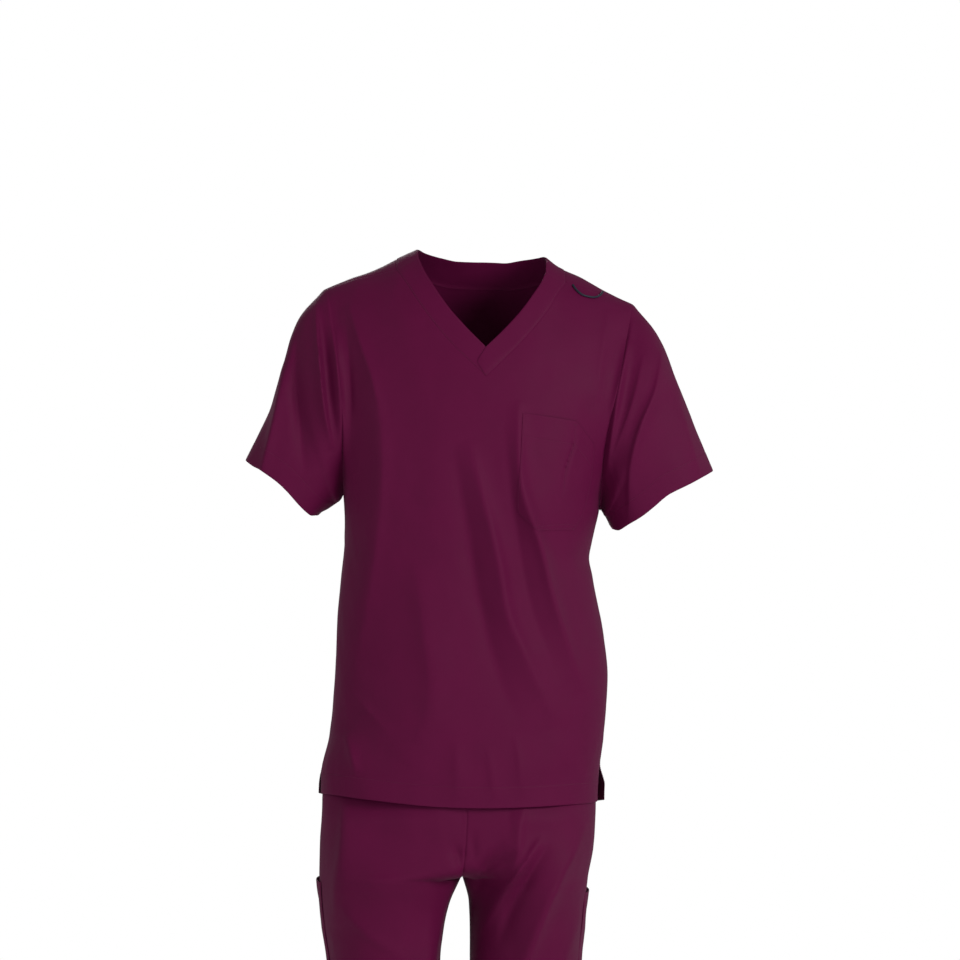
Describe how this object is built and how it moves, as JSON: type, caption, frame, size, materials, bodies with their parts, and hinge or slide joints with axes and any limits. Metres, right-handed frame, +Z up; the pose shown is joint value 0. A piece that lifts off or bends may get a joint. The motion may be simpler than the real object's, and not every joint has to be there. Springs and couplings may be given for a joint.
{
  "type": "medical scrubs, v-neck top and straight trousers, worn set",
  "caption": "Worn, hollow scrub set: short-sleeved V-neck top with a chest pocket over straight trousers, open at neck, cuffs and hems.",
  "frame": {"origin": "between the two neck ends of the shoulders, where the wearer holds the set up", "axes": "+Z up, -Y to the wearer's front, +X to the wearer's left"},
  "size_m": [0.5835, 0.2562, 1.5752],
  "materials": {
    "scrub_cloth": "smooth stretch twill with a soft sheen",
    "loop_cord": "matt round elastic cord"
  },
  "bodies": {
    "root": {"top_front": "scrub_cloth", "top_back": "scrub_cloth", "sleeve_right": "scrub_cloth", "sleeve_left": "scrub_cloth", "neckband_right": "scrub_cloth", "neckband_left": "scrub_cloth", "neckband_back": "scrub_cloth", "chest_pocket": "scrub_cloth", "badge_loop": "loop_cord", "trouser_front_right": "scrub_cloth", "trouser_front_left": "scrub_cloth", "trouser_back_right": "scrub_cloth", "trouser_back_left": "scrub_cloth", "waistband": "scrub_cloth", "cargo_pocket_right": "scrub_cloth", "cargo_pocket_left": "scrub_cloth"}
  },
  "joints": []
}
